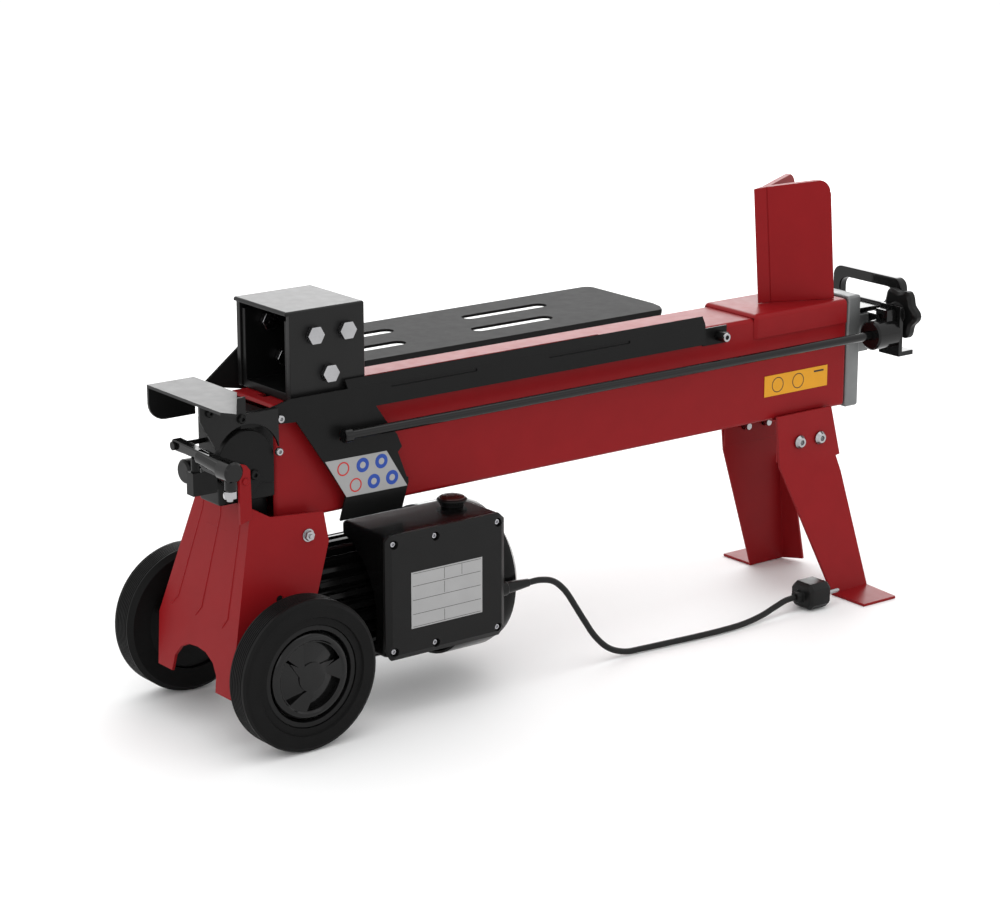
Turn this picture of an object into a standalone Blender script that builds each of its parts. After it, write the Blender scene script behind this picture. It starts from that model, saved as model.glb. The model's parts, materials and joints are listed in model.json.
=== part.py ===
"""Electric log splitter: a beam on two wheels and two legs, with a ram, a pusher and a wedge.

Everything below is placed in the machine's own coordinates: x runs along the beam from the wheel axle
towards the wedge, y from the near side (where the controls are) to the far side, z up from the floor.
At the end the whole machine hangs on one empty, which puts its middle at x = 0. Lengths are in metres.
"""

import math

import bmesh
import bpy
from mathutils import Matrix, Vector

# ---- driving dimensions -------------------------------------------------------------------------
GAP = 0.0003  # left between pieces that touch
SHEET = 0.003  # thickness of the pressed sheets

WHEEL_RADIUS = 0.0775
WHEEL_WIDTH = 0.034
WHEEL_OUTER = 0.127  # y of the wheels' outer faces
AXLE_RADIUS = 0.008

BEAM_START, BEAM_END = 0.015, 0.791
BEAM_HALF = 0.041
BEAM_BOTTOM, BEAM_TOP = 0.2095, 0.3305
SLOT_HALF = 0.0062  # half the width of the slot that the pusher's tongue runs in
STROKE = 0.34

PUSHER_START, PUSHER_END = 0.028, 0.121
PUSHER_HALF = 0.048
PUSHER_TOP = 0.423
PUSHER_WALL = 0.006

RAM_Z = 0.268  # height of the cylinder's and the piston rod's axis
RAM_RADIUS, BORE_RADIUS = 0.030, 0.0252
ROD_RADIUS = 0.010
RAM_START, RAM_END = 0.036, 0.446
PISTON_START, PISTON_END = 0.426, 0.438

BLOCK_BOTTOM, BLOCK_TOP = 0.2395, 0.3255  # the valve block at the beam's wheel end

PLATE_Y = -0.056  # outer face of the near side plate
LIP_TOP = 0.347
TABLE_INNER, TABLE_OUTER = 0.058, 0.205
TABLE_START, TABLE_END = 0.130, 0.611

WEDGE_EDGE = 0.690  # x of the knife edge where it meets the saddle
WEDGE_LEAN = math.radians(4.5)
WEDGE_HEIGHT = 0.131
SADDLE_START, SADDLE_END = 0.646, 0.786
SADDLE_TOP = 0.3348

CAP_BOSS_TOP = 0.3090

MOTOR_Z = 0.1010
MOTOR_START, MOTOR_END = 0.058, 0.225
FIN_RADIUS, HOUSING_RADIUS = 0.067, 0.060
FAN_COVER_RADIUS, FAN_COVER_END = 0.080, 0.306
SHAFT_RADIUS = 0.008

PUSHER_BOLTS = ((0.0595, 0.397), (0.0975, 0.397), (0.0765, 0.3565))  # x and z, on both cheeks
RAIL_BOLT = (0.592, 0.3205)
LEG_BOLTS = ((0.7135, 0.1805), (0.7445, 0.1805))
KNOB_AT = (-0.063, 0.3135)  # y and z of the star knob's axis
BUTTON = (0.229, -0.045, 0.1925)

STOP_ROD_Y, STOP_ROD_Z = -0.065, 0.294
STOP_ROD_RADIUS = 0.005
STOP_ROD_START, STOP_ROD_END = 0.0905, 0.8350

LEVER_X, LEVER_Y, LEVER_Z = -0.078, -0.019, 0.302  # pivot of the control lever
SPOOL_AT = (-0.0775, -0.0465)  # x and y of the valve spool under the lever
BLEED_AT = (-0.021, 0.2750)  # y and z of the bleed screw's axis

LEG_TOP_Z, LEG_FOLD_Z = 0.2145, 0.156  # rear legs: straight between these, splayed below
LEG_FOOT_Y = {-1: -0.079, 1: 0.062}  # where each rear leg meets its foot
LEG_TOE_Y = {-1: -0.131, 1: 0.108}

CORD_RADIUS = 0.0034
GLAND_START = 0.2553
CORD_EXIT = (0.2945, -0.0902, 0.107)
CORD_ROUTE = (  # from the strain relief down to the floor and along it to the plug
    (0.2945, -0.0902, 0.1070),
    (0.3100, -0.0904, 0.1068),
    (0.3270, -0.0908, 0.1020),
    (0.3420, -0.0914, 0.0890),
    (0.3550, -0.0920, 0.0700),
    (0.3680, -0.0926, 0.0500),
    (0.3820, -0.0932, 0.0300),
    (0.4000, -0.0940, 0.0135),
    (0.4220, -0.0950, 0.0050),
    (0.4460, -0.0962, 0.0037),
    (0.4780, -0.0988, 0.0037),
    (0.5140, -0.1015, 0.0037),
    (0.5500, -0.1030, 0.0037),
    (0.5850, -0.1020, 0.0040),
    (0.6150, -0.0990, 0.0065),
    (0.6380, -0.0960, 0.0110),
    (0.6560, -0.0945, 0.0150),
    (0.6700, -0.0940, 0.0158),
)
MACHINE_START, MACHINE_END = -0.0885, 0.8705  # the machine's ends along x
MACHINE_NEAR, MACHINE_FAR = -0.131, 0.205  # and along y

RED, BLACK, SATIN = (0.42, 0.012, 0.016), (0.012, 0.012, 0.013), (0.03, 0.03, 0.032)
STEEL, ALUMINIUM, RUBBER = (0.62, 0.62, 0.63), (0.55, 0.56, 0.57), (0.018, 0.018, 0.018)


# ---- helpers ------------------------------------------------------------------------------------
def clear_scene():
    for obj in list(bpy.data.objects):
        bpy.data.objects.remove(obj, do_unlink=True)


def material(name, colour, metallic, roughness):
    made = bpy.data.materials.new(name)
    made.use_nodes = True
    shader = made.node_tree.nodes["Principled BSDF"]
    shader.inputs["Base Color"].default_value = (*colour, 1.0)
    shader.inputs["Metallic"].default_value = metallic
    shader.inputs["Roughness"].default_value = roughness
    return made


def finish(name, shape, colour, metallic=0.0, roughness=0.4):
    """Turns a bmesh into a named object with its own material and its faces pointing out."""
    bmesh.ops.recalc_face_normals(shape, faces=shape.faces)
    mesh = bpy.data.meshes.new(name)
    shape.to_mesh(mesh)
    shape.free()
    mesh.shade_smooth()
    mesh.set_sharp_from_angle(angle=math.radians(35))
    obj = bpy.data.objects.new(name, mesh)
    bpy.context.scene.collection.objects.link(obj)
    mesh.materials.append(material(name, colour, metallic, roughness))
    return obj


def loft(rings, closed=False):
    """A bmesh through rings of the same number of points: capped, or joined end to start if closed."""
    shape = bmesh.new()
    loops = [[shape.verts.new(point) for point in ring] for ring in rings]
    count = len(loops[0])
    pairs = list(zip(loops, loops[1:]))
    if closed:
        pairs.append((loops[-1], loops[0]))
    for low, high in pairs:
        for i in range(count):
            j = (i + 1) % count
            shape.faces.new((low[i], low[j], high[j], high[i]))
    if not closed:
        shape.faces.new(loops[0])
        shape.faces.new(loops[-1])
    return shape


def on_axis(axis, along, across, up):
    """A point from its place along an axis and its two other coordinates, in x, y, z order."""
    if axis == "x":
        return (along, across, up)
    if axis == "y":
        return (across, along, up)
    return (across, up, along)


def circle(axis, along, centre, radius, count, start=0.0):
    turn = 2 * math.pi / count
    return [
        on_axis(
            axis,
            along,
            centre[0] + radius * math.cos(start + i * turn),
            centre[1] + radius * math.sin(start + i * turn),
        )
        for i in range(count)
    ]


def turned(axis, centre, profile, count=32, hollow=False):
    """A solid of revolution: profile is (place along the axis, radius) from end to end."""
    return loft([circle(axis, along, centre, radius, count) for along, radius in profile], hollow)


def prism(axis, outline, low, high):
    """An outline in the plane across the axis, drawn out from low to high."""
    return loft([[on_axis(axis, along, *point) for point in outline] for along in (low, high)])


def block(low, high):
    outline = [(low[0], low[1]), (high[0], low[1]), (high[0], high[1]), (low[0], high[1])]
    return prism("z", outline, low[2], high[2])


def arc(centre, radius, first, last, count):
    """Points on an arc, its angles in degrees."""
    angles = [math.radians(first + (last - first) * i / (count - 1)) for i in range(count)]
    return [(centre[0] + radius * math.cos(a), centre[1] + radius * math.sin(a)) for a in angles]


def strip(points, thickness):
    """The outline of a bent sheet: a line of points, and the same line moved to its left."""
    moved = []
    for i, point in enumerate(points):
        here = Vector(point)
        before = (here - Vector(points[i - 1])).normalized() if i else None
        after = (Vector(points[i + 1]) - here).normalized() if i + 1 < len(points) else None
        before = before or after
        after = after or before
        normal = Vector((-before.y - after.y, before.x + after.x)).normalized()
        reach = thickness / normal.dot(Vector((-before.y, before.x)))
        moved.append(tuple(here + normal * reach))
    return list(points) + moved[::-1]


def helper(name, shape):
    """A cutter or a piece to be joined: not a part of the machine by itself."""
    obj = finish(name, shape, (0.5, 0.5, 0.5))
    obj.hide_render = True
    obj.display_type = "WIRE"
    return obj


def boolean(obj, shape, operation):
    number = len(obj.modifiers) + 1
    modifier = obj.modifiers.new(f"{operation.title()} {number}", "BOOLEAN")
    modifier.operation = operation
    modifier.solver = "EXACT"
    modifier.object = helper(f"{obj.name}.tool{number}", shape)
    return obj


def cut(obj, *shapes):
    for shape in shapes:
        boolean(obj, shape, "DIFFERENCE")
    return obj


def join(obj, *shapes):
    for shape in shapes:
        boolean(obj, shape, "UNION")
    return obj


def bevel(obj, width, segments=2, angle=40):
    modifier = obj.modifiers.new("Bevel", "BEVEL")
    modifier.width = width
    modifier.segments = segments
    modifier.limit_method = "ANGLE"
    modifier.angle_limit = math.radians(angle)
    return obj


def pivot_at(obj, point):
    """Puts the object's origin on its joint's axis without moving its shape."""
    obj.data.transform(Matrix.Translation(-Vector(point)))
    obj.location = point
    return obj


def hexagon(axis, along, centre, flats):
    """Twelve points round a hexagon, so that it lofts straight onto a round shank."""
    points = []
    for i in range(12):
        angle = math.radians(30 * i)
        radius = flats / 2 / math.cos(math.radians(30)) if i % 2 == 0 else flats / 2
        points.append(
            on_axis(axis, along, centre[0] + radius * math.cos(angle), centre[1] + radius * math.sin(angle))
        )
    return points


def bolt(name, axis, centre, head, nut, flats=0.017, shank=0.0048, head_height=0.0065):
    """A hex bolt with its nut on: head and nut are the places of their inner faces along the axis."""
    way = 1 if nut > head else -1
    ends = [head - way * head_height, head, head, nut, nut, nut + way * 0.008]
    rings = [
        hexagon(axis, ends[0], centre, flats),
        hexagon(axis, ends[1], centre, flats),
        circle(axis, ends[2], centre, shank, 12),
        circle(axis, ends[3], centre, shank, 12),
        hexagon(axis, ends[4], centre, flats),
        hexagon(axis, ends[5], centre, flats),
    ]
    return finish(name, loft(rings), STEEL, 1.0, 0.25)


def hole(axis, centre, radius, low, high, count=16):
    return turned(axis, centre, [(low, radius), (high, radius)], count)


def slot(axis, start, end, across, low, high, count=7):
    """A cutter for a slot with round ends, from start to end along the outline's first coordinate."""
    radius = across[1]
    right = arc((end - radius, across[0]), radius, -90, 90, count)
    left = arc((start + radius, across[0]), radius, 90, 270, count)
    return prism(axis, right + left, low, high)


# ---- beam, wedge and tables ---------------------------------------------------------------------
def make_beam():
    outline = [
        (-BEAM_HALF, BEAM_BOTTOM),
        (BEAM_HALF, BEAM_BOTTOM),
        (BEAM_HALF, BEAM_TOP),
        (-BEAM_HALF, BEAM_TOP),
    ]
    beam = finish("main_beam", prism("x", outline, BEAM_START, BEAM_END), RED)
    bevel(beam, 0.005, 3)
    inside = BEAM_HALF - SHEET
    cut(
        beam,
        block(
            (BEAM_START - 0.01, -inside, BEAM_BOTTOM + SHEET),
            (BEAM_END + 0.01, inside, BEAM_TOP - SHEET),
        ),
        block((0.028, -SLOT_HALF, BEAM_TOP - 0.01), (0.462, SLOT_HALF, BEAM_TOP + 0.01)),
        hole("y", RAIL_BOLT, 0.0045, -0.05, -0.03, 12),
    )


def make_end_cap():
    """The cast cover on the beam's wedge end, with the boss that carries the end bracket."""
    start = BEAM_END + GAP
    outline = [(-0.041, 0.2065), (0.041, 0.2065), (0.041, 0.3365), (-0.041, 0.3365)]
    cap = finish("end_cap", prism("x", outline, start, 0.812), ALUMINIUM, 0.9, 0.35)
    bevel(cap, 0.003)
    join(cap, block((0.800, -0.028, 0.265), (0.8377, 0.028, CAP_BOSS_TOP)))


def make_saddle():
    """The pressed cap over the beam that carries the wedge, rounded along its top and its front."""
    side = BEAM_HALF + GAP
    outer = side + SHEET
    skirt = 0.308
    shape = block((SADDLE_START, -outer, skirt - 0.03), (SADDLE_END + 0.03, outer, SADDLE_TOP))
    saddle = finish("wedge_saddle", shape, RED)
    bevel(saddle, 0.006, 3)
    cut(
        saddle,
        block((SADDLE_START - 0.01, -0.1, skirt - 0.05), (SADDLE_END + 0.05, 0.1, skirt)),
        block((SADDLE_END, -0.1, skirt - 0.06), (SADDLE_END + 0.06, 0.1, SADDLE_TOP + 0.01)),
        block((SADDLE_START - 0.02, -side, skirt - 0.02), (SADDLE_END + 0.02, side, BEAM_TOP + GAP)),
    )


def make_wedge():
    """Knife blade with two wings, leaning a little towards the pusher."""
    half_angle = math.radians(23)
    thick = 0.007
    blade, wing = 0.016, 0.0700
    tip = (0.0, 0.0)
    spread = math.tan(half_angle)
    start = (blade, 0.0035)
    end = (blade + wing, 0.0035 + wing * spread)
    inner = (blade + wing, end[1] - thick / math.cos(half_angle))
    heart = (blade + thick / math.sin(half_angle) - 0.0035 / spread, 0.0)
    outline = [tip, start, end, inner, heart]
    outline += [(x, -y) for x, y in (inner, end, start)]
    base = SADDLE_TOP + GAP
    shape = prism("z", outline, 0.0, WEDGE_HEIGHT)
    for vert in shape.verts:
        if vert.co.z > 0:
            vert.co.z += vert.co.x * math.sin(WEDGE_LEAN)
        vert.co.x -= vert.co.z * math.tan(WEDGE_LEAN)
        vert.co += Vector((WEDGE_EDGE, 0.0, base))
    wedge = finish("wedge", shape, RED)
    back = WEDGE_EDGE + blade + wing - WEDGE_HEIGHT * math.tan(WEDGE_LEAN)
    high = base + WEDGE_HEIGHT + (blade + wing) * math.sin(WEDGE_LEAN)
    corner = arc((back - 0.015, high - 0.015), 0.015, 0, 90, 7)
    beyond = [(back - 0.015, high + 0.01), (back + 0.02, high + 0.01), (back + 0.02, high - 0.015)]
    cut(wedge, prism("y", corner + beyond, -0.1, 0.1))


def make_log_rail():
    """The near side plate: a low rail along the beam and a deep apron under the pusher's rest place."""
    back = PLATE_Y + 0.002
    face = [
        (-0.031, 0.3335),
        (-0.031, 0.3180),
        (0.033, 0.3145),
        (0.090, 0.2300),
        (0.167, 0.2300),
        (0.154, 0.2640),
        (0.159, 0.2690),
        (0.153, 0.2830),
        (0.139, 0.3000),
        (0.128, 0.3160),
        (0.563, 0.3160),
        (0.563, 0.3385),
        (0.094, 0.3385),
        (0.026, 0.3385),
        (0.004, 0.3335),
    ]
    rail = finish("log_rail", prism("y", face, PLATE_Y, back), BLACK, 0.0, 0.3)
    lip = [(-0.0513, LIP_TOP), (PLATE_Y, 0.3395), (PLATE_Y, 0.332)]
    join(rail, prism("x", strip(lip, 0.002), 0.094, 0.5625))
    fold = [(PLATE_Y, 0.236), (PLATE_Y, 0.230), (-0.0445, 0.200)]
    join(rail, prism("x", strip(fold, 0.002), 0.0905, 0.1665))
    tab = [(0.556, PLATE_Y), (0.563, PLATE_Y), (0.572, -0.0445), (0.604, -0.0445)]
    join(rail, prism("z", strip(tab, 0.002), 0.3165, 0.330))
    join(rail, prism("z", strip([(0.570, -0.0445), (0.604, -0.0445)], 0.002), 0.311, 0.3305))
    cut(rail, block((0.0835, -0.06, 0.2872), (0.170, -0.05, 0.2962)))
    cut(rail, hole("y", RAIL_BOLT, 0.0045, -0.06, -0.03, 12))
    for start, end in ((0.146, 0.254), (0.347, 0.457)):
        cut(rail, slot("y", start, end, (0.3345, 0.0018), -0.07, PLATE_Y + 0.0012))


def make_log_table():
    """The far side table, with its slots, its hooked inner edge and its end plate."""
    top = BEAM_TOP
    section = [
        (BEAM_HALF + GAP, 0.270),
        (BEAM_HALF + GAP, 0.316),
        (TABLE_INNER, top),
        (TABLE_OUTER, top),
    ]
    shape = prism("x", strip(section[::-1], SHEET), TABLE_START, TABLE_END)
    table = finish("log_table", shape, BLACK, 0.0, 0.3)
    corner = 0.010
    round_off = arc((TABLE_END - corner, TABLE_OUTER - corner), corner, 0, 90, 5)
    beyond = [(TABLE_END - corner, 0.23), (TABLE_END + 0.02, 0.23), (TABLE_END + 0.02, TABLE_OUTER - corner)]
    cut(table, prism("z", round_off + beyond, 0.30, 0.36))
    inner = [(TABLE_END - 0.047, 0.030), (TABLE_END - 0.012, TABLE_INNER + 0.001), (TABLE_END - 0.004, 0.072)]
    inner += [(TABLE_END + 0.0002, 0.090), (TABLE_END + 0.02, 0.090), (TABLE_END + 0.02, 0.030)]
    cut(table, prism("z", inner, 0.25, 0.36))
    rows = ((0.158, (0.183, 0.299), (0.394, 0.510)), (0.104, (0.165, 0.277), (0.367, 0.476)))
    for y, *spans in rows:
        for start, end in spans:
            cut(table, slot("z", start, end, (y, 0.0092), 0.30, 0.36))
    for x in (0.1475, 0.3600):
        rib = [(BEAM_HALF + GAP + 0.001, 0.275), (0.195, 0.322), (0.195, top - 0.001)]
        rib += [(0.060, top - 0.001), (BEAM_HALF + GAP + 0.001, 0.312)]
        join(table, prism("x", rib, x, x + SHEET))
    end_plate = [
        (-0.004, 0.3345),
        (0.040, 0.368),
        (0.060, 0.376),
        (0.120, 0.376),
        (0.160, 0.330),
        (0.160, 0.324),
        (0.043, 0.324),
        (0.012, 0.330),
    ]
    join(table, prism("y", end_plate, TABLE_INNER - 0.001, TABLE_INNER + 0.002))


def make_rail_bolt():
    bolt("rail_bolt", "y", RAIL_BOLT, -0.0448, SHEET - BEAM_HALF + GAP, 0.0105, 0.0040, 0.013)


# ---- ram and pusher -----------------------------------------------------------------------------
def make_ram():
    """The cylinder, closed at its wedge end, and the rod that runs into it through its gland."""
    centre = (0.0, RAM_Z)
    bore_end = RAM_END - 0.006
    gland_end = RAM_START + 0.010
    throat = ROD_RADIUS + 0.0004
    profile = [
        (bore_end, BORE_RADIUS),
        (gland_end, BORE_RADIUS),
        (gland_end, throat),
        (RAM_START, throat),
        (RAM_START, RAM_RADIUS),
        (RAM_END, RAM_RADIUS),
    ]
    finish("ram_cylinder", turned("x", centre, profile, 32), STEEL, 1.0, 0.3)
    rod = [
        (BEAM_START + GAP, ROD_RADIUS),
        (PISTON_START, ROD_RADIUS),
        (PISTON_START, 0.0246),
        (0.430, 0.0246),
        (0.430, 0.0225),
        (0.434, 0.0225),
        (0.434, 0.0246),
        (PISTON_END, 0.0246),
    ]
    finish("piston_rod", turned("x", centre, rod, 32), STEEL, 1.0, 0.15)


def make_return_spring():
    """A long soft coil on the piston rod, between the cylinder's gland and the piston."""
    turns, per_turn, mean = 12, 10, 0.0178
    start, end = RAM_START + 0.0125, PISTON_START - 0.0025
    curve = bpy.data.curves.new("return_spring", "CURVE")
    curve.dimensions = "3D"
    curve.bevel_depth = 0.0015
    curve.bevel_resolution = 0
    curve.use_fill_caps = True
    spline = curve.splines.new("POLY")
    count = turns * per_turn + 1
    spline.points.add(count - 1)
    for i in range(count):
        angle = 2 * math.pi * i / per_turn
        along = start + (end - start) * i / (count - 1)
        place = (along, mean * math.cos(angle), RAM_Z + mean * math.sin(angle), 1.0)
        spline.points[i].co = place
    obj = bpy.data.objects.new("return_spring", curve)
    bpy.context.scene.collection.objects.link(obj)
    curve.materials.append(material("return_spring", STEEL, 1.0, 0.4))


def make_pusher():
    """The box that pushes the log: front plate, two cheeks and a lid, open at its back and below."""
    cheek = PUSHER_HALF - PUSHER_WALL
    floor = BEAM_TOP + 0.0015
    outline = [(-PUSHER_HALF, floor), (PUSHER_HALF, floor)]
    outline += [(PUSHER_HALF, PUSHER_TOP), (-PUSHER_HALF, PUSHER_TOP)]
    box = finish("pusher_box", prism("x", outline, PUSHER_START, PUSHER_END), BLACK, 0.0, 0.3)
    bevel(box, 0.0015, 1)
    cut(box, block((0.0, -cheek, 0.30), (PUSHER_END - 0.008, cheek, PUSHER_TOP - 0.004)))
    cut(box, block((0.0, -0.1, 0.30), (PUSHER_START + 0.004, 0.1, PUSHER_TOP - 0.004)))
    for y in (-PUSHER_HALF, PUSHER_HALF):
        for x, z in PUSHER_BOLTS:
            cut(box, hole("y", (x, z), 0.0052, y - 0.02, y + 0.02, 12))
    join(box, *catch_shapes())


def make_carriage():
    """What joins the pusher to the ram: two walls inside the cheeks, a shoe on the beam and a tongue."""
    wall = PUSHER_HALF - PUSHER_WALL - GAP
    base = BEAM_TOP + 0.0008
    section = [
        (-wall, base),
        (wall, base),
        (wall, 0.412),
        (wall - 0.006, 0.412),
        (wall - 0.006, base + 0.008),
        (-wall + 0.006, base + 0.008),
        (-wall + 0.006, 0.412),
        (-wall, 0.412),
    ]
    carriage = finish("pusher_carriage", prism("x", section, 0.034, 0.1125), SATIN, 0.6, 0.4)
    tongue_foot = RAM_Z + RAM_RADIUS + GAP
    join(carriage, block((0.037, -0.005, tongue_foot), (0.108, 0.005, base + 0.004)))
    for x, z in PUSHER_BOLTS:
        cut(carriage, hole("y", (x, z), 0.0052, -0.06, 0.06, 12))


def make_pusher_bolts():
    number = 0
    for side in (-1, 1):
        for x, z in PUSHER_BOLTS:
            number += 1
            head = side * (PUSHER_HALF + GAP)
            nut = side * (PUSHER_HALF - 2 * PUSHER_WALL - 2 * GAP)
            bolt(f"pusher_bolt_{number}", "y", (x, z), head, nut)


def catch_shapes():
    """The tongue welded to the near cheek, which meets the stop rod's head when the pusher comes home."""
    arm = [(0.093, 0.345), (0.108, 0.345), (0.108, 0.3345), (0.103, 0.2885), (0.093, 0.2885)]
    return (
        prism("y", arm, -0.0475, -0.0445),
        block((0.093, -0.0594, 0.2885), (0.102, -0.046, 0.2948)),
    )


# ---- stop rod and wedge end ---------------------------------------------------------------------
def make_stop_rod():
    centre = (STOP_ROD_Y, STOP_ROD_Z)
    profile = [
        (0.0815, 0.0062),
        (0.0825, 0.0074),
        (STOP_ROD_START, 0.0074),
        (STOP_ROD_START, STOP_ROD_RADIUS),
        (STOP_ROD_END, STOP_ROD_RADIUS),
    ]
    finish("stop_rod", turned("x", centre, profile, 16), BLACK, 0.3, 0.3)


def make_clamp():
    """The clamp on the stop rod: a split collar held to the end bracket, and its star knob."""
    centre = (STOP_ROD_Y, STOP_ROD_Z)
    bore = STOP_ROD_RADIUS + 0.0004
    rings = [(0.803, bore), (0.803, 0.015), (0.805, 0.017), (0.8357, 0.017), (0.8357, bore)]
    collar = finish("clamp_collar", turned("x", centre, rings, 24, hollow=True), BLACK, 0.0, 0.35)
    join(collar, block((0.8215, STOP_ROD_Y - 0.008, 0.3065), (0.8352, STOP_ROD_Y + 0.010, 0.3215)))
    cut(collar, hole("x", KNOB_AT, 0.0036, 0.819, 0.84, 12))


def make_star_knob():
    """Six lobes round a hub, on a threaded stem that runs through the bracket into the collar."""
    centre = KNOB_AT
    lobes, points = 6, 48
    mean, swing = 0.0275, 0.0030

    def outline(along, shrink):
        ring = []
        for i in range(points):
            angle = 2 * math.pi * i / points
            radius = (mean + swing * math.cos(lobes * angle)) * shrink
            ring.append((along, centre[0] + radius * math.cos(angle), centre[1] + radius * math.sin(angle)))
        return ring

    rings = [outline(0.8465, 0.85), outline(0.8490, 1.0), outline(0.8560, 1.0), outline(0.8580, 0.92)]
    knob = finish("star_knob", loft(rings), BLACK, 0.0, 0.35)
    join(knob, turned("x", centre, [(0.8425, 0.0105), (0.8440, 0.0130), (0.8485, 0.0140)], 24))
    join(knob, turned("x", centre, [(0.8240, 0.0033), (0.8470, 0.0033)], 12))
    pivot_at(knob, (0.852, *centre))


def make_end_bracket():
    """The angle on the end cap's boss that the stop rod's clamp is screwed to."""
    angle = strip([(0.8360, 0.3250), (0.8360, 0.2670), (0.8590, 0.2670)], 0.0055)
    bracket = finish("end_bracket", prism("y", angle, -0.0790, -0.0470), BLACK, 0.0, 0.35)
    join(bracket, block((0.8380, -0.060, 0.290), (0.8415, 0.030, CAP_BOSS_TOP - GAP)))
    cut(bracket, hole("x", KNOB_AT, 0.0036, 0.83, 0.85, 12))


def make_carry_handle():
    """A grab handle across the wedge end, on a flat foot that rests on the cap's boss."""
    start, end = 0.8595, MACHINE_END
    half, limb, bend = 0.0560, 0.012, 0.012
    top, foot = 0.3500, 0.3060
    outer = [(-half, foot), *arc((-half + bend, top - bend), bend, 180, 90, 6)]
    outer += [*arc((half - bend, top - bend), bend, 90, 0, 6), (half, foot)]
    low, high, side = foot + limb, top - limb, half - limb
    inner = [(side, low), *arc((side - bend, high - bend), bend, 0, 90, 6)]
    inner += [*arc((-side + bend, high - bend), bend, 90, 180, 6), (-side, low)]
    handle = finish("carry_handle", prism("x", outer, start, end), BLACK, 0.0, 0.35)
    cut(handle, prism("x", inner, start - 0.01, end + 0.01))
    join(handle, block((0.8130, -0.0240, CAP_BOSS_TOP + GAP), (end - 0.002, 0.0400, 0.3150)))
    bevel(handle, 0.001, 1)


# ---- legs and wheels ----------------------------------------------------------------------------
def make_front_leg():
    """One pressed sheet: a front face that leans forward over an arch and two cheeks that hold the axle."""
    top, foot = 0.2355, 0.050
    lean = (-0.0205, -0.0585)  # x of the front face at its top and at its feet
    near_line = ((-0.0545, top), (-0.0703, foot))  # y and z along each fold
    far_line = ((0.0405, top), (0.0775, 0.100))

    def front(y, z):
        x = lean[0] + (lean[1] - lean[0]) * (top - z) / (top - foot)
        return (x, y, z)

    def cheek(x, z, line):
        (y0, z0), (y1, z1) = line
        return (x, y0 + (y1 - y0) * (z0 - z) / (z0 - z1), z)

    arch = [(-0.0425, foot), (-0.0395, 0.0660), (-0.0300, 0.0765), (-0.0150, 0.0830), (0.0010, 0.0845)]
    arch += [(0.0170, 0.0830), (0.0300, 0.0770), (0.0385, 0.0665), (0.0400, foot)]
    face = [*near_line, *arch, (0.0665, foot), far_line[1], far_line[0]]
    shape = bmesh.new()
    front_verts = [shape.verts.new(front(y, z)) for y, z in face]
    shape.faces.new(front_verts)
    back = [(0.024, 0.060), (0.048, 0.135), (0.066, 0.188), (0.062, 0.2185), (0.0, 0.2235)]
    for line, folded, first in (
        (near_line, front_verts[:2], []),
        (far_line, [front_verts[-1], front_verts[-2]], [(0.0, 0.060)]),
    ):
        rest = [shape.verts.new(cheek(x, z, line)) for x, z in first + back]
        shape.faces.new([*folded, *rest])
    leg = finish("front_leg", shape, RED)
    solid = leg.modifiers.new("Sheet", "SOLIDIFY")
    solid.thickness = SHEET
    solid.offset = 0.0
    solid.use_even_offset = True
    cut(leg, hole("y", (0.0, WHEEL_RADIUS), AXLE_RADIUS + GAP, -0.2, 0.2, 24))
    cut(leg, slot("y", 0.0, 0.0085, (0.140, 0.004), -0.2, 0.2))
    join(leg, block((-0.0285, -0.020, 0.196), (-0.0120 - GAP, 0.020, 0.206)))
    tab = [(-0.0350, 0.222), (-0.0215, 0.226), (-0.0225, 0.2755), (-0.0270, 0.2810), (-0.0350, 0.2840)]
    join(leg, prism("y", tab, -0.0575, -0.0540))


def make_axle():
    """The rod that carries both wheels, with a nut at each end."""
    end, nut = 0.124, 0.1155
    rings = [hexagon("y", -end, (0.0, WHEEL_RADIUS), 0.018), hexagon("y", -nut, (0.0, WHEEL_RADIUS), 0.018)]
    rings += [circle("y", y, (0.0, WHEEL_RADIUS), AXLE_RADIUS, 12) for y in (-nut, nut)]
    rings += [hexagon("y", nut, (0.0, WHEEL_RADIUS), 0.018), hexagon("y", end, (0.0, WHEEL_RADIUS), 0.018)]
    finish("axle", loft(rings), STEEL, 1.0, 0.3)


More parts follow.
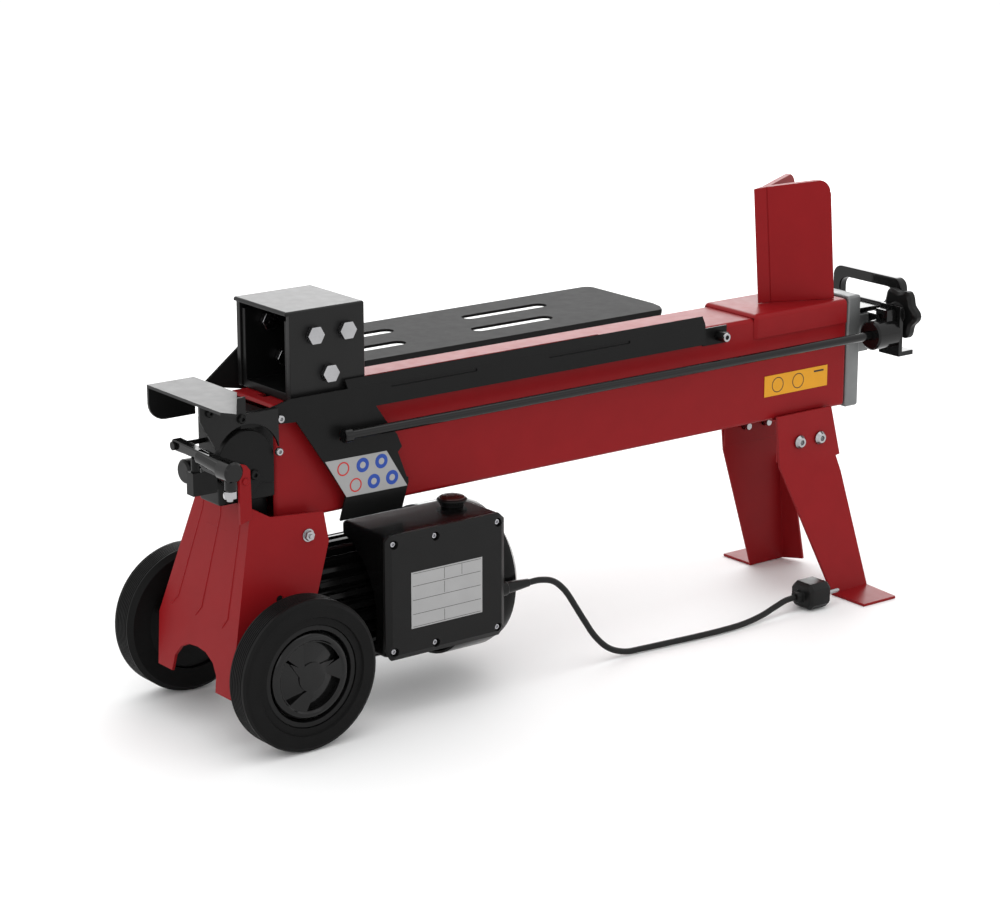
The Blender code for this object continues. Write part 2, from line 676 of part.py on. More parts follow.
def make_wheel(name, side):
    """A solid rubber tyre, the plastic wheel that it sits on, and the cap over the axle nut."""
    centre = (0.0, WHEEL_RADIUS)
    outer, inner = WHEEL_OUTER, WHEEL_OUTER - WHEEL_WIDTH
    tyre_bore = 0.0525
    tyre = [
        (inner, tyre_bore),
        (inner, 0.070),
        (inner + 0.005, WHEEL_RADIUS),
        (outer - 0.005, WHEEL_RADIUS),
        (outer, 0.070),
        (outer, 0.0605),
        (outer - 0.002, 0.0595),
        (outer - 0.002, tyre_bore),
    ]
    tread = [(side * y, r) for y, r in tyre]
    tyre_obj = finish(f"tyre_{name}", turned("y", centre, tread, 48, True), RUBBER, 0.0, 0.7)
    rim = tyre_bore - GAP
    bore = AXLE_RADIUS + 0.0004
    hub = [
        (inner - 0.002, bore),
        (inner - 0.002, 0.017),
        (inner + 0.004, 0.020),
        (inner + 0.004, rim),
        (outer - 0.003, rim),
        (outer - 0.003, 0.047),
        (outer - 0.0125, 0.045),
        (outer - 0.0125, bore),
    ]
    disc = [(side * y, r) for y, r in hub]
    hub_obj = finish(f"wheel_{name}", turned("y", centre, disc, 40, True), BLACK, 0.0, 0.45)
    cap = [
        (outer - 0.0122, 0.0440),
        (outer - 0.004, 0.0440),
        (outer - 0.0015, 0.0400),
        (outer, 0.0300),
        (outer, 0.0),
    ]
    rings = [circle("y", side * y, centre, r, 40) for y, r in cap[:-1]]
    cap_obj = finish(f"hub_cap_{name}", loft(rings), BLACK, 0.0, 0.15)
    pocket = turned("y", centre, [(side * (outer - 0.02), 0.0125), (side * (outer - 0.0025), 0.0125)], 16)
    cut(cap_obj, pocket)
    for obj in (tyre_obj, hub_obj, cap_obj):
        pivot_at(obj, (0.0, side * (outer - WHEEL_WIDTH / 2), WHEEL_RADIUS))


def leg_points(side):
    """Corners of a rear leg: its straight top, its splayed shin and its foot."""
    top_y = side * 0.0475
    foot_y, toe_y = LEG_FOOT_Y[side], LEG_TOE_Y[side]
    level = SHEET / 2
    top = [(0.679, top_y, LEG_TOP_Z), (0.762, top_y, LEG_TOP_Z), (0.7775, top_y, LEG_FOLD_Z)]
    fold = [(0.7715, top_y, LEG_FOLD_Z - 0.001), (0.685, top_y, LEG_FOLD_Z - 0.001)]
    ankle = [(0.744, foot_y, level), (0.7965, foot_y, level)]
    toe = [(0.7930, toe_y, level), (0.7435, toe_y, level)]
    start = [a + (b - a) * 0.12 for a, b in zip(fold[0], ankle[1])]  # where the stiffening flange starts
    flange = [start, (start[0] + 0.004, start[1] - side * 0.018, start[2] - 0.012)]
    flange.append((0.8040, foot_y - side * 0.028, 0.004))
    return top, fold, ankle, toe, flange


def make_rear_leg(name, side):
    top, fold, ankle, toe, flange = leg_points(side)
    shape = bmesh.new()
    upper = [shape.verts.new(p) for p in top]
    knee = [shape.verts.new(p) for p in fold]
    low = [shape.verts.new(p) for p in ankle]
    end = [shape.verts.new(p) for p in toe]
    inward = [shape.verts.new(p) for p in flange]
    shape.faces.new([*upper, *knee])
    shape.faces.new([knee[1], knee[0], inward[0], low[1], low[0]])
    shape.faces.new([low[0], low[1], end[0], end[1]])
    shape.faces.new([inward[0], inward[1], inward[2], low[1]])
    leg = finish(name, shape, RED)
    solid = leg.modifiers.new("Sheet", "SOLIDIFY")
    solid.thickness = SHEET
    solid.offset = 0.0
    solid.use_even_offset = True
    for x, z in LEG_BOLTS:
        cut(leg, hole("y", (x, z), 0.0052, side * 0.040, side * 0.055, 12))


def make_rear_bracket():
    """The channel under the beam that the rear legs are bolted to."""
    wide = 0.0475 - SHEET / 2 - GAP
    high = BEAM_BOTTOM - GAP
    section = [(-wide, 0.160), (-wide, high), (wide, high), (wide, 0.160)]
    bracket = finish("rear_bracket", prism("x", strip(section[::-1], SHEET), 0.684, 0.762), RED)
    for x, z in LEG_BOLTS:
        cut(bracket, hole("y", (x, z), 0.0052, -0.06, 0.06, 12))


def make_leg_bolts():
    number = 0
    for side in (-1, 1):
        for x, z in LEG_BOLTS:
            number += 1
            head = side * (0.0475 + SHEET / 2 + GAP)
            nut = side * (0.0475 - 1.5 * SHEET - 2 * GAP)
            bolt(f"leg_bolt_{number}", "y", (x, z), head, nut, 0.015, 0.0048, 0.0055)


# ---- hydraulics and controls at the wheel end ---------------------------------------------------
def make_valve_block():
    """A flange across the beam's end, with the valve's body on its near half."""
    outline = [(-0.050, -0.044), (BEAM_START - GAP, -0.044), (BEAM_START - GAP, 0.044)]
    outline += [(-0.010, 0.044), (-0.010, -0.006), (-0.050, -0.006)]
    valve = finish("valve_block", prism("z", outline, BLOCK_BOTTOM, BLOCK_TOP), BLACK, 0.3, 0.4)
    bevel(valve, 0.003, 2)
    join(valve, block((-0.0840, -0.0525, 0.2580), (-0.0570, -0.0400, 0.2810)))
    join(valve, block((-0.0600, -0.0440, 0.2580), (-0.0450, -0.0370, 0.2810)))
    cut(valve, hole("z", SPOOL_AT, 0.0045, 0.2605, 0.30, 16))
    cut(valve, hole("x", BLEED_AT, 0.0043, -0.06, -0.030, 16))


def make_side_cover():
    """The round-topped cover on the near face of the valve block."""
    middle = (-0.0245, 0.2820)
    top = arc(middle, 0.0325, -8, 188, 19)
    outline = [*top, (-0.0500, 0.2650), (-0.0320, 0.2520), (-0.0220, 0.2420), (-0.0078, 0.2600)]
    outline += [(0.0036, 0.2573), (0.0077, 0.2585)]
    finish("valve_cover", prism("y", outline, -0.0535, -0.0443), BLACK, 0.0, 0.3)


def make_valve_spool():
    finish(
        "valve_spool",
        turned("z", SPOOL_AT, [(0.2720, 0.0042), (0.2950, 0.0042), (0.2960, 0.003)], 16),
        STEEL,
        1.0,
        0.25,
    )


def make_control_lever():
    """The lever across the wheel end, pivoted at its far end, with a round grip at its near end."""
    x0, x1 = -0.0835, -0.0725
    shape = [
        (-0.0130, 0.3075),
        (-0.0980, 0.3040),
        (-0.0980, 0.2870),
        (-0.0700, 0.2875),
        (-0.0540, 0.2970),
        (-0.0190, 0.2965),
        (-0.0130, 0.2985),
    ]
    lever = finish("control_lever", prism("x", shape, x0, x1), BLACK, 0.0, 0.3)
    bevel(lever, 0.0012, 1)
    cut(lever, hole("x", (LEVER_Y, LEVER_Z), 0.0028, -0.09, -0.065, 12))
    pivot_at(lever, (LEVER_X, LEVER_Y, LEVER_Z))
    knob = [(-0.1185, 0.0085), (-0.1165, 0.0105), (-0.0990, 0.0105), (-0.0983, 0.0095)]
    grip = finish("lever_knob", turned("y", (LEVER_X, 0.2955), knob, 20), BLACK, 0.0, 0.25)
    nut = [(0.2765, 0.0055), (0.2780, 0.0065), (0.2890, 0.0065)]
    join(grip, turned("z", (LEVER_X, -0.1110), nut, 12))
    pivot_at(grip, (LEVER_X, LEVER_Y, LEVER_Z))


def make_lever_pin():
    profile = [(-0.0865, 0.0045), (-0.0840, 0.0045), (-0.0840, 0.0025), (-0.0503, 0.0025)]
    finish("lever_pin", turned("x", (LEVER_Y, LEVER_Z), profile, 12), STEEL, 1.0, 0.3)


def make_lever_guard():
    """The hand guard over the lever: a flat top, a turned-down far side and its near plate."""
    top, under = 0.3510, 0.3480
    outline = [(-0.0800, 0.0365), (-0.0800, -0.0990), (-0.0710, -0.1130)]
    outline += [(-0.0265, -0.0430), (-0.0265, 0.0365)]
    guard = finish("lever_guard", prism("z", outline, under, top), BLACK, 0.0, 0.3)
    corner = [(-0.080, 0.350), *arc((-0.062, 0.3320), 0.018, 180, 270, 7)]
    join(guard, prism("y", [*corner, (-0.0275, 0.3140), (-0.0275, 0.350)], 0.0335, 0.0365))
    arch = arc((-0.0265, 0.2855), 0.0375, 160, 14, 15)
    plate = [(-0.0790, 0.3500), (-0.0790, 0.3333), (-0.0605, 0.3010), *arch]
    plate += [(0.0095, 0.3330), (-0.0275, 0.3330), (-0.0275, 0.3500)]
    join(guard, prism("y", plate, -0.0600, -0.0570))


def make_bleed_screw():
    """The knurled screw that lets air into the oil tank while the splitter works."""
    profile = [(-0.0765, 0.0100), (-0.0745, 0.0122), (-0.0655, 0.0122), (-0.0635, 0.0105)]
    centre = BLEED_AT
    rings = [circle("x", x, centre, r, 20) for x, r in profile]
    screw = finish("bleed_screw", loft(rings), BLACK, 0.0, 0.35)
    join(screw, turned("x", centre, [(-0.0645, 0.0060), (-0.0505, 0.0060)], 12))
    join(screw, turned("x", centre, [(-0.052, 0.0040), (-0.0325, 0.0040)], 12))
    pivot_at(screw, (-0.0700, *centre))


def make_pump():
    """The gear pump on the motor's shaft, with the manifold that feeds the valve block above it."""
    body = block((0.0100, -0.032, 0.0680), (0.0545, 0.032, BEAM_BOTTOM - GAP))
    pump = finish("gear_pump", body, SATIN, 0.7, 0.4)
    bevel(pump, 0.003, 2)
    join(pump, block((-0.0120, -0.028, 0.150), (BEAM_START - GAP, 0.028, BLOCK_BOTTOM - GAP)))
    cut(pump, hole("x", (0.0, MOTOR_Z), SHAFT_RADIUS + 0.001, 0.032, 0.07, 16))


# ---- motor --------------------------------------------------------------------------------------
def fin_ring(along, base, tip, count=30):
    """Four points to each fin round the motor's housing."""
    ring = []
    step = 2 * math.pi / count
    for i in range(count):
        for share, radius in ((-0.42, base), (-0.18, tip), (0.18, tip), (0.42, base)):
            angle = (i + share) * step
            ring.append((along, radius * math.cos(angle), MOTOR_Z + radius * math.sin(angle)))
    return ring


def make_motor_housing():
    rings = [fin_ring(x, HOUSING_RADIUS, FIN_RADIUS) for x in (MOTOR_START, MOTOR_END)]
    housing = finish("motor_housing", loft(rings), BLACK, 0.4, 0.3)
    centre = (0.0, MOTOR_Z)
    cut(housing, hole("x", centre, 0.052, MOTOR_START + 0.008, MOTOR_END + 0.01, 32))
    cut(housing, hole("x", centre, SHAFT_RADIUS + 0.001, MOTOR_START - 0.01, MOTOR_START + 0.02, 16))
    arm = [(-0.030, MOTOR_Z + 0.055), (-0.030, 0.209), (0.030, 0.209), (0.030, MOTOR_Z + 0.055)]
    arm = [(y, z if z < 0.2 else BEAM_BOTTOM - GAP) for y, z in arm]
    join(housing, prism("x", arm, 0.0625, 0.0725))


def make_fan_cover():
    """A domed shell, open towards the motor, with a ring of vents in its end."""
    centre = (0.0, MOTOR_Z)
    start, end, wall = MOTOR_END + GAP, FAN_COVER_END, 0.0025
    profile = [
        (end - wall, 0.046),
        (0.2965, 0.0620),
        (0.2865, 0.0740),
        (0.2750, FAN_COVER_RADIUS - wall),
        (start, FAN_COVER_RADIUS - wall),
        (start, FAN_COVER_RADIUS),
        (0.2760, FAN_COVER_RADIUS),
        (0.2885, 0.0765),
        (0.2990, 0.0640),
        (end, 0.048),
    ]
    cover = finish("fan_cover", turned("x", centre, profile, 48), BLACK, 0.0, 0.25)
    vents, ring = 12, 0.030
    for place in circle("x", 0.0, centre, ring, vents):
        cut(cover, hole("x", place[1:], 0.0036, end - 0.01, end + 0.01, 8))


def make_rotor():
    centre = (0.0, MOTOR_Z)
    profile = [(0.035, SHAFT_RADIUS), (0.086, SHAFT_RADIUS), (0.086, 0.032)]
    profile += [(0.196, 0.032), (0.196, SHAFT_RADIUS)]
    profile += [(0.266, SHAFT_RADIUS)]
    rotor = finish("rotor", turned("x", centre, profile, 24), STEEL, 1.0, 0.4)
    pivot_at(rotor, (0.14, *centre))


def make_stator():
    rings = [(0.084, 0.0335), (0.084, 0.0515), (0.198, 0.0515), (0.198, 0.0335)]
    finish("stator", turned("x", (0.0, MOTOR_Z), rings, 24, True), (0.35, 0.16, 0.06), 0.6, 0.5)


def make_fan():
    """A plastic hub on the motor's shaft with eight flat blades."""
    centre = (0.0, MOTOR_Z)
    bore = SHAFT_RADIUS + GAP
    hub = [(0.236, bore), (0.236, 0.020), (0.262, 0.018), (0.262, bore)]
    fan = finish("fan", turned("x", centre, hub, 24, True), SATIN, 0.0, 0.5)
    for i in range(8):
        turn = Matrix.Translation((0, 0, MOTOR_Z)) @ Matrix.Rotation(math.radians(45 * i + 11), 4, "X")
        blade = block((0.238, 0.015, -0.0012), (0.260, 0.060, 0.0012))
        bmesh.ops.transform(blade, matrix=turn, verts=blade.verts)
        join(fan, blade)
    pivot_at(fan, (0.249, *centre))


def make_switch_box():
    """The box on the motor's side with the start button on top, and its screwed cover."""
    low, high = (0.108, -0.0958, 0.064), (0.2530, -0.020, 0.1925)
    box = finish("switch_box", block(low, high), BLACK, 0.0, 0.25)
    bevel(box, 0.004, 2)
    cut(box, hole("x", (0.0, MOTOR_Z), FAN_COVER_RADIUS + 0.0012, 0.09, 0.28, 48))
    cut(box, block((0.116, -0.11, 0.076), (0.245, -0.085, 0.184)))
    well = hole("z", BUTTON[:2], 0.0125, 0.17, 0.21, 24)
    cut(box, well)
    outline = [(0.106, 0.074), (0.106, 0.188), (0.112, 0.1935), (0.248, 0.1935)]
    outline += [(0.2550, 0.187), (0.2550, 0.069), (0.248, 0.062), (0.113, 0.062)]
    cover = finish("switch_box_cover", prism("y", outline, -0.1035, -0.0961), SATIN, 0.0, 0.3)
    bevel(cover, 0.0035, 2)


def make_start_button():
    x, y, z = BUTTON
    profile = [(z - 0.006, 0.0115), (z + 0.0045, 0.0115), (z + 0.0045, 0.0160)]
    profile += [(z + 0.0070, 0.0160), (z + 0.0085, 0.0120)]
    finish("start_button", turned("z", (x, y), profile, 24), (0.16, 0.02, 0.02), 0.0, 0.4)


# ---- cord ---------------------------------------------------------------------------------------
def smooth_route(points, spacing):
    """Points at even steps along a smooth curve through the route's own points."""
    fine = []
    count = len(points)
    for i in range(count - 1):
        p0 = Vector(points[max(i - 1, 0)])
        p1, p2 = Vector(points[i]), Vector(points[i + 1])
        p3 = Vector(points[min(i + 2, count - 1)])
        for k in range(20):
            t = k / 20
            linear = (p2 - p0) * t
            square = (2 * p0 - 5 * p1 + 4 * p2 - p3) * t**2
            cube = (3 * p1 - p0 - 3 * p2 + p3) * t**3
            fine.append(0.5 * (2 * p1 + linear + square + cube))
    fine.append(Vector(points[-1]))
    lengths = [0.0]
    for a, b in zip(fine, fine[1:]):
        lengths.append(lengths[-1] + (b - a).length)
    steps = max(2, round(lengths[-1] / spacing))
    even, k = [], 0
    for i in range(steps + 1):
        want = lengths[-1] * i / steps
        while k < len(fine) - 2 and lengths[k + 1] < want:
            k += 1
        share = (want - lengths[k]) / (lengths[k + 1] - lengths[k])
        even.append(fine[k].lerp(fine[k + 1], share))
    return even


def make_cord():
    curve = bpy.data.curves.new("power_cord", "CURVE")
    curve.dimensions = "3D"
    curve.bevel_depth = CORD_RADIUS
    curve.bevel_resolution = 2
    curve.use_fill_caps = True
    route = smooth_route(CORD_ROUTE, 0.012)
    spline = curve.splines.new("POLY")
    spline.points.add(len(route) - 1)
    for point, place in zip(spline.points, route):
        point.co = (*place, 1.0)
    obj = bpy.data.objects.new("power_cord", curve)
    bpy.context.scene.collection.objects.link(obj)
    curve.materials.append(material("power_cord", RUBBER, 0.0, 0.5))


def make_gland():
    """The nut on the switch box and the tapered sleeve that keeps the cord from kinking."""
    start, end = GLAND_START, CORD_EXIT[0] - GAP
    profile = [(start, 0.0080), (start + 0.008, 0.0080), (start + 0.009, 0.0068), (end, 0.0042)]
    finish("cord_gland", turned("x", CORD_EXIT[1:], profile, 16), BLACK, 0.0, 0.45)


def make_plug():
    """The moulded eight-sided plug lying on the floor, with two round pins."""
    start = CORD_ROUTE[-1][0] + 2 * GAP
    y, z = CORD_ROUTE[-1][1:]

    def section(x, half_y, half_z):
        """A rectangle with its corners cut off."""
        flat_y, flat_z = half_y - 0.4 * half_z, 0.6 * half_z
        corners = [(half_y, flat_z), (flat_y, half_z), (-flat_y, half_z), (-half_y, flat_z)]
        return [(x, y + a, z + b) for a, b in corners + [(-a, -b) for a, b in corners]]

    shapes = [(0.0, 0.0055, 0.0055), (0.009, 0.0065, 0.0065), (0.0095, 0.0150, 0.0120)]
    shapes += [(0.014, 0.0172, 0.0150), (0.037, 0.0172, 0.0150), (0.041, 0.0150, 0.0130)]
    rings = [section(start + x, a, b) for x, a, b in shapes]
    finish("plug", loft(rings), BLACK, 0.0, 0.4)
    for number, offset in ((1, -0.0095), (2, 0.0095)):
        pin = [(start + 0.0413, 0.0024), (start + 0.0570, 0.0024), (start + 0.0590, 0.0015)]
        finish(f"plug_pin_{number}", turned("x", (y + offset, z), pin, 12), STEEL, 1.0, 0.2)


# ---- assembly -----------------------------------------------------------------------------------
def place_machine():
    """Hangs everything on one empty that puts the machine's middle at the origin."""
    machine = bpy.data.objects.new("log_splitter", None)
    bpy.context.scene.collection.objects.link(machine)
    machine.location.x = -(MACHINE_START + MACHINE_END) / 2
    machine.location.y = -(MACHINE_NEAR + MACHINE_FAR) / 2
    for obj in list(bpy.data.objects):
        if obj is not machine and obj.parent is None:
            obj.parent = machine


def main():
    clear_scene()
    make_beam()
    make_end_cap()
    make_saddle()
    make_wedge()
    make_log_rail()
    make_log_table()
    make_rail_bolt()
    make_ram()
    make_return_spring()
    make_pusher()
    make_carriage()
    make_pusher_bolts()
    make_stop_rod()
    make_clamp()
    make_star_knob()
    make_end_bracket()
    make_carry_handle()
    make_front_leg()
    make_axle()
    make_wheel("near", -1)
    make_wheel("far", 1)
    make_rear_bracket()
    make_rear_leg("rear_leg_near", -1)
    make_rear_leg("rear_leg_far", 1)
    make_leg_bolts()
    make_valve_block()
    make_side_cover()
    make_valve_spool()
    make_control_lever()
    make_lever_pin()
    make_lever_guard()
    make_bleed_screw()
    make_pump()
    make_motor_housing()
    make_fan_cover()
    make_rotor()
    make_stator()
    make_fan()
    make_switch_box()
    make_start_button()
    make_gland()
    make_cord()
    make_plug()
    place_machine()


main()
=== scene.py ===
"""The looks of an electric log splitter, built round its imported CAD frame.

Shapes are written in the machine's own coordinates, in metres: x from the wheel axle along the beam,
y from the near side to the far side, z up from the floor. SHIFT carries them into the frame's axes.
"""

import json
import math

import bmesh
import bpy
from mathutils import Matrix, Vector


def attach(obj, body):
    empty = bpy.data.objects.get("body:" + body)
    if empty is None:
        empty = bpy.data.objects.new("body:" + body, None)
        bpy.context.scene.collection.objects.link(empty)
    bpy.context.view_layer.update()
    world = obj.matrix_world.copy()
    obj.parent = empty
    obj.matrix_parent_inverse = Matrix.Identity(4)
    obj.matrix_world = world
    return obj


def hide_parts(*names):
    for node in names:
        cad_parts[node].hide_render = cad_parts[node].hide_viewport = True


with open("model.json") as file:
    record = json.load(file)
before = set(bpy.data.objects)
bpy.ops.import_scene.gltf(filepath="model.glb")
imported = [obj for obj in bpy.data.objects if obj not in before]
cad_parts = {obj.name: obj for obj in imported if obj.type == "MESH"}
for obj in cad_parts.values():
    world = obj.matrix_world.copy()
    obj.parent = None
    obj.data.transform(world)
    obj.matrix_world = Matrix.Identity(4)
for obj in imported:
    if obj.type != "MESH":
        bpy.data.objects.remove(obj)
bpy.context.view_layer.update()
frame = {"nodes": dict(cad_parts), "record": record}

SHIFT = Vector((-0.391, -0.037, 0.0))
BODY_OF = {node: body for body, nodes in frame["record"]["behaviour"]["bodies"].items() for node in nodes}

# The camera that the photograph was fitted with, and the studio round it.
LENS, SENSOR = 103.19, 36.0
CAMERA_PLACE = (-1.8403, -2.3692, 1.0342)
CAMERA_TILT, CAMERA_TURN = 74.375, -37.273
WORLD_STRENGTH = 1.16
LAMPS = (  # name, place, what it is aimed at, size across, watts
    ("overhead", (0.2, 0.1, 2.6), (0.0, 0.0, 0.0), 3.0, 14.0),
    ("left_key", (-2.6, -1.0, 1.5), (0.0, 0.0, 0.2), 1.6, 5.0),
    ("right_fill", (1.6, -2.6, 1.4), (0.1, 0.0, 0.2), 1.6, 2.0),
    ("back_panel", (2.1, 2.7, 1.3), (0.0, 0.0, 0.3), 3.2, 60.0),
)
FLOOR_SIZE, FLOOR_DROP = 30.0, 0.0004

# Sizes that more than one piece uses.
WHEEL_RADIUS = 0.0775
WHEEL_OUTER, WHEEL_INNER = 0.127, 0.093  # y of the wheel's two sides, from the middle of the beam
CAP_RADIUS = 0.0440
PANEL_Y = -0.1035  # the flat front of the switch box's cover
COVER_OUTLINE = (
    (0.106, 0.074), (0.106, 0.188), (0.112, 0.1935), (0.248, 0.1935),
    (0.2550, 0.187), (0.2550, 0.069), (0.248, 0.062), (0.113, 0.062),
)
LABEL_THICK = 0.0003
LEVER_X, LEVER_KNOB_Y = -0.0780, -0.1090
CORD_RADIUS = 0.0034


# ---- camera, light and floor --------------------------------------------------------------------
def make_stage():
    """The camera at the photograph's angle, soft lamps in a white room and a pale floor."""
    scene = bpy.context.scene
    scene.view_settings.view_transform = "Standard"
    camera = bpy.data.cameras.new("camera")
    camera.sensor_width = SENSOR
    camera.lens = LENS
    holder = bpy.data.objects.new("camera", camera)
    holder.location = CAMERA_PLACE
    holder.rotation_euler = (math.radians(CAMERA_TILT), 0.0, math.radians(CAMERA_TURN))
    scene.collection.objects.link(holder)
    scene.camera = holder

    world = bpy.data.worlds.new("studio")
    world.use_nodes = True
    sky = world.node_tree.nodes["Background"]
    sky.inputs["Color"].default_value = (1.0, 1.0, 1.0, 1.0)
    sky.inputs["Strength"].default_value = WORLD_STRENGTH
    scene.world = world

    for name, place, target, size, power in LAMPS:
        lamp = bpy.data.lights.new(name, "AREA")
        lamp.shape = "DISK"
        lamp.size = size
        lamp.energy = power
        obj = bpy.data.objects.new(name, lamp)
        obj.location = place
        obj.rotation_euler = (Vector(target) - Vector(place)).to_track_quat("-Z", "Y").to_euler()
        scene.collection.objects.link(obj)

    shape = bmesh.new()
    bmesh.ops.create_grid(shape, x_segments=2, y_segments=2, size=FLOOR_SIZE)
    mesh = bpy.data.meshes.new("floor")
    shape.to_mesh(mesh)
    shape.free()
    floor = bpy.data.objects.new("floor", mesh)
    floor.location.z = -FLOOR_DROP
    scene.collection.objects.link(floor)
    mesh.materials.append(FLOOR)


# ---- materials ----------------------------------------------------------------------------------
NOISE_LOW, NOISE_HIGH = 0.3, 0.7  # the span that most of a noise texture's values lie in
BUMP_DEPTH = 0.0004


def surface(name, colour, rough, spread, vary, bump, grain=900.0, metallic=0.0, specular=0.5,
            stretch=(1, 1, 1), patch=40.0):
    """A procedural finish in metres of object space: colour, roughness and a fine relief that vary.

    rough varies by spread and colour by the share vary, in patches; grain is how fine the relief is.
    """
    made = bpy.data.materials.new(name)
    made.use_nodes = True
    tree = made.node_tree
    shader = tree.nodes["Principled BSDF"]
    shader.inputs["Metallic"].default_value = metallic
    shader.inputs["Specular IOR Level"].default_value = specular
    place = tree.nodes.new("ShaderNodeTexCoord")
    mapping = tree.nodes.new("ShaderNodeMapping")
    mapping.inputs["Scale"].default_value = stretch
    tree.links.new(place.outputs["Object"], mapping.inputs["Vector"])

    def noise(scale, detail):
        node = tree.nodes.new("ShaderNodeTexNoise")
        node.inputs["Scale"].default_value = scale
        node.inputs["Detail"].default_value = detail
        tree.links.new(mapping.outputs["Vector"], node.inputs["Vector"])
        return node.outputs["Fac"]

    def ranged(source, low, high):
        node = tree.nodes.new("ShaderNodeMapRange")
        node.inputs["From Min"].default_value = NOISE_LOW
        node.inputs["From Max"].default_value = NOISE_HIGH
        node.inputs["To Min"].default_value = low
        node.inputs["To Max"].default_value = high
        tree.links.new(source, node.inputs["Value"])
        return node.outputs["Result"]

    mix = tree.nodes.new("ShaderNodeMix")
    mix.data_type = "RGBA"
    mix.inputs["A"].default_value = (*[c * (1 - vary) for c in colour], 1.0)
    mix.inputs["B"].default_value = (*[min(1.0, c * (1 + vary)) for c in colour], 1.0)
    tree.links.new(ranged(noise(patch, 4.0), 0.0, 1.0), mix.inputs["Factor"])
    tree.links.new(mix.outputs["Result"], shader.inputs["Base Color"])
    uneven = ranged(noise(patch * 2.3, 5.0), rough - spread, rough + spread)
    tree.links.new(uneven, shader.inputs["Roughness"])
    relief = tree.nodes.new("ShaderNodeBump")
    relief.inputs["Strength"].default_value = bump
    relief.inputs["Distance"].default_value = BUMP_DEPTH
    tree.links.new(noise(grain, 3.0), relief.inputs["Height"])
    tree.links.new(relief.outputs["Normal"], shader.inputs["Normal"])
    return made


# name, colour, rough, spread, vary, bump and what differs from the defaults
RED = surface(
    "red_powder_coat", (0.21, 0.007, 0.009), 0.34, 0.03, 0.03, 0.03, grain=420, specular=0.09
)
BLACK = surface(
    "black_powder_coat", (0.006, 0.006, 0.006), 0.34, 0.03, 0.06, 0.03, grain=600, specular=0.11
)
LID = surface(
    "lid_powder_coat", (0.006, 0.006, 0.006), 0.34, 0.02, 0.04, 0.0, grain=600, specular=0.20
)
TABLE = surface(
    "table_powder_coat", (0.010, 0.010, 0.010), 0.50, 0.02, 0.04, 0.0, grain=600, specular=0.03
)
SATIN = surface(
    "semi_gloss_black", (0.004, 0.004, 0.004), 0.34, 0.04, 0.1, 0.04, grain=700, specular=0.14
)
ENAMEL = surface(
    "black_enamel", (0.003, 0.003, 0.003), 0.18, 0.03, 0.1, 0.03, grain=500, specular=0.10
)
PANEL = surface(
    "switch_panel", (0.009, 0.009, 0.009), 0.32, 0.03, 0.05, 0.03, grain=900, specular=0.12
)
PLASTIC = surface(
    "moulded_plastic", (0.004, 0.004, 0.004), 0.36, 0.04, 0.1, 0.05, grain=1800, specular=0.18
)
GLOSS = surface(
    "glossy_plastic", (0.004, 0.004, 0.004), 0.12, 0.03, 0.1, 0.02, grain=500, specular=0.26
)
RUBBER = surface(
    "tyre_rubber", (0.005, 0.005, 0.005), 0.50, 0.05, 0.1, 0.06, grain=1400, specular=0.08
)
CORD = surface(
    "cord_sheath", (0.006, 0.006, 0.006), 0.44, 0.05, 0.1, 0.06, grain=1600, specular=0.2
)
ZINC = surface(
    "zinc_plate", (0.36, 0.36, 0.37), 0.22, 0.06, 0.08, 0.05, grain=700, metallic=1.0
)
GROUND = surface(
    "ground_steel", (0.40, 0.40, 0.42), 0.22, 0.06, 0.06, 0.10, grain=400, metallic=1.0,
    stretch=(0.05, 1, 1),
)
CAST = surface(
    "cast_aluminium", (0.17, 0.175, 0.175), 0.42, 0.06, 0.10, 0.22, grain=900, metallic=0.6,
    specular=0.3,
)
MEMBRANE = surface(
    "button_membrane", (0.030, 0.006, 0.005), 0.26, 0.04, 0.1, 0.04, grain=700, specular=0.25
)
COPPER = surface(
    "varnished_winding", (0.30, 0.12, 0.05), 0.4, 0.08, 0.2, 0.3, grain=300, metallic=0.6
)
FLOOR = surface(
    "pale_floor", (0.90, 0.90, 0.90), 0.7, 0.03, 0.004, 0.01, grain=80, patch=2.0, specular=0.1
)
PAPER = surface("label_white", (0.32, 0.32, 0.32), 0.4, 0.04, 0.03, 0.02, specular=0.2)
SILVER = surface("label_silver", (0.30, 0.30, 0.30), 0.38, 0.04, 0.03, 0.02, specular=0.2)
YELLOW = surface("label_yellow", (0.62, 0.28, 0.01), 0.4, 0.04, 0.04, 0.02, specular=0.2)
INK = surface("label_ink", (0.02, 0.02, 0.02), 0.4, 0.04, 0.08, 0.02, specular=0.2)
BLUE = surface("label_blue", (0.02, 0.06, 0.30), 0.4, 0.04, 0.06, 0.02, specular=0.2)
WARM = surface("label_red", (0.46, 0.02, 0.02), 0.4, 0.04, 0.06, 0.02, specular=0.2)


# ---- shapes -------------------------------------------------------------------------------------
def loft(rings, closed=False):
    """A bmesh through rings of the same number of points: capped, or joined end to start if closed."""
    shape = bmesh.new()
    loops = [[shape.verts.new(point) for point in ring] for ring in rings]
    pairs = list(zip(loops, loops[1:]))
    if closed:
        pairs.append((loops[-1], loops[0]))
    for low, high in pairs:
        for i in range(len(low)):
            j = (i + 1) % len(low)
            shape.faces.new((low[i], low[j], high[j], high[i]))
    if not closed:
        shape.faces.new(loops[0])
        shape.faces.new(loops[-1])
    return shape


def on_axis(axis, along, across, up):
    """A point from its distance along an axis and its two places across it."""
    if axis == "x":
        return (along, across, up)
    if axis == "y":
        return (across, along, up)
    return (across, up, along)


